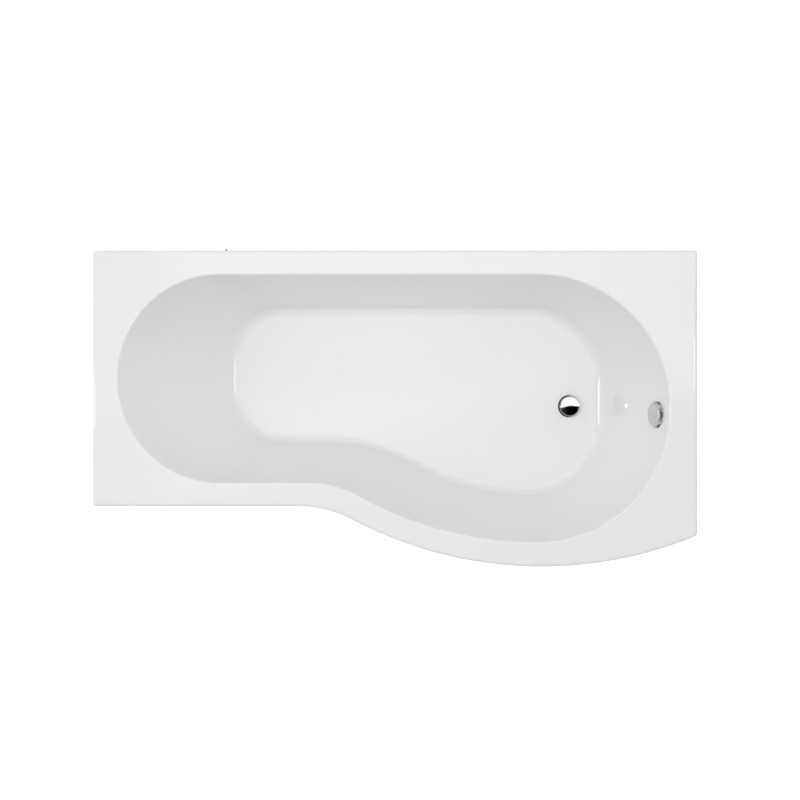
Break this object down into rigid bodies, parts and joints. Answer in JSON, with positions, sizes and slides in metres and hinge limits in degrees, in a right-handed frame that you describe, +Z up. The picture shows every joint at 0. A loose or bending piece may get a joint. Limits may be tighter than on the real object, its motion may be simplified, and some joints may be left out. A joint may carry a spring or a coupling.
{
  "type": "b-shaped shower bath",
  "caption": "Acrylic bath, narrow at the head and bowed out at the tap end for standing under a shower, with legs, a push-down waste and an overflow.",
  "frame": {"origin": "on the ground under the middle of the whole bath's box", "axes": "+Z up; +X along the bath towards the waste and overflow end; +Y towards the straight back edge"},
  "size_m": [1.7, 0.8899, 0.54],
  "materials": {
    "white_acrylic": "gloss",
    "glass_fibre": "rough sprayed laminate",
    "chipboard": "sealed chipboard",
    "timber": "planed softwood",
    "plywood": "sawn birch ply",
    "galvanised_steel": "galvanised",
    "zinc_plate": "bright zinc plate",
    "yellow_zinc": "yellow passivated",
    "black_plastic": "moulded satin",
    "chrome": "polished",
    "black_rubber": "moulded",
    "white_plastic": "moulded satin",
    "spring_steel": "drawn",
    "brass_sleeve": "turned",
    "grey_hose": "ribbed, satin"
  },
  "bodies": {
    "bath": {"acrylic_shell": "white_acrylic", "glass_fibre_backing": "glass_fibre", "baseboard": "chipboard", "back_batten": "timber", "front_batten": "timber", "head_batten": "timber", "tap_end_batten": "timber", "bow_batten": "plywood", "head_leg_channel": "galvanised_steel", "tap_leg_channel": "galvanised_steel", "centre_leg_bracket": "galvanised_steel", "leg_nuts": "zinc_plate", "leg_screws": "yellow_zinc", "wall_bracket_head": "galvanised_steel", "wall_bracket_tap": "galvanised_steel", "bracket_screws": "yellow_zinc", "waste_flange": "chrome", "flange_washer": "black_rubber", "waste_gasket": "black_rubber", "waste_body": "white_plastic", "plug_spring": "spring_steel", "plug_sleeve": "brass_sleeve", "overflow_cover": "chrome", "overflow_insert": "white_plastic", "overflow_gasket": "black_rubber", "overflow_housing": "white_plastic", "overflow_hose": "grey_hose", "upper_hose_nut": "white_plastic", "lower_hose_nut": "white_plastic"},
    "foot_1": {"foot_pad_1": "black_plastic", "foot_stud_1": "zinc_plate"},
    "foot_2": {"foot_pad_2": "black_plastic", "foot_stud_2": "zinc_plate"},
    "foot_3": {"foot_pad_3": "black_plastic", "foot_stud_3": "zinc_plate"},
    "foot_4": {"foot_pad_4": "black_plastic", "foot_stud_4": "zinc_plate"},
    "foot_5": {"foot_pad_5": "black_plastic", "foot_stud_5": "zinc_plate"},
    "plug": {"plug_cap": "chrome", "plug_seal": "black_rubber", "plug_stem": "spring_steel"}
  },
  "joints": [
    {"name": "plug_press", "type": "slide", "parent": "bath", "child": "plug", "axis": [0, 0, 1], "range_m": [-0.008, 0], "stiffness_N_per_m": 600, "springref_m": 0.004, "deforming": ["plug_spring"]},
    {"name": "foot_1_height", "type": "slide", "parent": "bath", "child": "foot_1", "axis": [0, 0, 1], "range_m": [-0.02, 0.02]},
    {"name": "foot_2_height", "type": "slide", "parent": "bath", "child": "foot_2", "axis": [0, 0, 1], "range_m": [-0.02, 0.02]},
    {"name": "foot_3_height", "type": "slide", "parent": "bath", "child": "foot_3", "axis": [0, 0, 1], "range_m": [-0.02, 0.02]},
    {"name": "foot_4_height", "type": "slide", "parent": "bath", "child": "foot_4", "axis": [0, 0, 1], "range_m": [-0.02, 0.02]},
    {"name": "foot_5_height", "type": "slide", "parent": "bath", "child": "foot_5", "axis": [0, 0, 1], "range_m": [-0.02, 0.02]}
  ]
}
